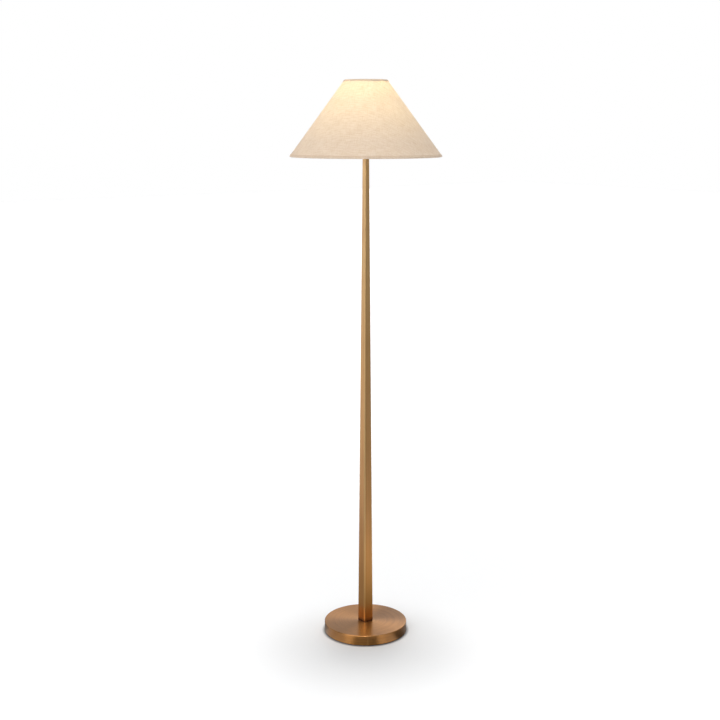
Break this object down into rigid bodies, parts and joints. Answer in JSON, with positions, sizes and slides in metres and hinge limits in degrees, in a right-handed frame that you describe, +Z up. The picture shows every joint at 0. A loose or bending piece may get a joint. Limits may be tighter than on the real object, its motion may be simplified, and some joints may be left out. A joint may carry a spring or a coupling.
{
  "type": "floor lamp",
  "caption": "Floor lamp: a conical linen shade, lit from inside, on a slender tapered square brass post that stands on a round weighted base.",
  "frame": {"origin": "on the floor at the centre of the base", "axes": "+Z up along the post; the post's faces look along X and Y; the cord inlet and the shade's seam are at the back, +Y, and the switch knob is at the front, -Y"},
  "size_m": [0.4356, 0.4356, 1.65],
  "materials": {
    "brushed_brass": "antique brass, brushed",
    "linen": "plain weave, natural slubs",
    "shade_liner": "matt white laminate",
    "white_wire": "epoxy coated",
    "cast_iron": "as cast",
    "zinc_steel": "zinc plated",
    "nickel": "nickel plated",
    "foam_pad": "closed-cell foam",
    "black_plastic": "moulded",
    "white_plastic": "moulded",
    "flex_pvc": "smooth",
    "earth_pvc": "smooth",
    "porcelain": "glazed",
    "opal_globe": "opal"
  },
  "bodies": {
    "stand": {"base_pad": "foam_pad", "base_cover": "brushed_brass", "base_weight": "cast_iron", "pocket_plate": "zinc_steel", "pocket_plate_screw_1": "zinc_steel", "pocket_plate_screw_2": "zinc_steel", "pocket_plate_screw_3": "zinc_steel", "fixing_washer": "zinc_steel", "fixing_nut": "zinc_steel", "cord_inlet_bush": "black_plastic", "terminal_block": "white_plastic", "terminal_screw_1": "zinc_steel", "terminal_screw_2": "zinc_steel", "terminal_screw_3": "zinc_steel", "earth_tag": "nickel", "earth_screw": "zinc_steel", "earth_lead": "earth_pvc", "foot_stud": "zinc_steel", "foot_plug": "zinc_steel", "post_tube": "brushed_brass", "post_top_plug": "brushed_brass", "inner_lead": "flex_pvc", "neck_nipple": "zinc_steel", "neck_collar": "brushed_brass", "neck_locknut": "brushed_brass", "holder_cap": "brushed_brass", "holder_skirt": "brushed_brass", "holder_insert": "porcelain", "holder_screw_shell": "nickel", "holder_centre_contact": "nickel", "switch_body": "black_plastic", "holder_live_screw": "nickel", "holder_live_core": "flex_pvc", "holder_neutral_screw": "nickel", "holder_neutral_core": "flex_pvc"},
    "switch": {"switch_spindle": "nickel", "switch_knob": "brushed_brass"},
    "seat_ring": {"shade_seat_ring": "brushed_brass"},
    "clamp_ring": {"shade_clamp_ring": "brushed_brass"},
    "bulb": {"bulb_contact": "nickel", "bulb_insulator": "black_plastic", "bulb_cap": "nickel", "bulb_housing": "white_plastic", "bulb_led_board": "zinc_steel", "bulb_globe": "opal_globe"},
    "shade": {"shade_cover": "linen", "shade_liner": "shade_liner", "shade_top_ring": "white_wire", "shade_bottom_ring": "white_wire", "shade_top_trim": "linen", "shade_bottom_trim": "linen", "shade_carrier_ring": "white_wire", "shade_spoke_1": "white_wire", "shade_spoke_2": "white_wire", "shade_spoke_3": "white_wire"}
  },
  "joints": [
    {"name": "switch_turn", "type": "hinge", "parent": "stand", "child": "switch", "pos_m": [0, -0.022, 1.4853], "axis": [0, -1, 0], "continuous": true},
    {"name": "seat_ring_turn", "type": "hinge", "parent": "stand", "child": "seat_ring", "pos_m": [0, 0, 1.5123], "axis": [0, 0, 1], "continuous": true},
    {"name": "clamp_ring_turn", "type": "hinge", "parent": "stand", "child": "clamp_ring", "pos_m": [0, 0, 1.5209], "axis": [0, 0, 1], "continuous": true},
    {"name": "shade_swivel", "type": "hinge", "parent": "stand", "child": "shade", "pos_m": [0, 0, 1.5166], "axis": [0, 0, 1], "continuous": true},
    {"name": "bulb_lift", "type": "slide", "parent": "stand", "child": "bulb", "axis": [0, 0, 1], "range_m": [0, 0.15]}
  ]
}
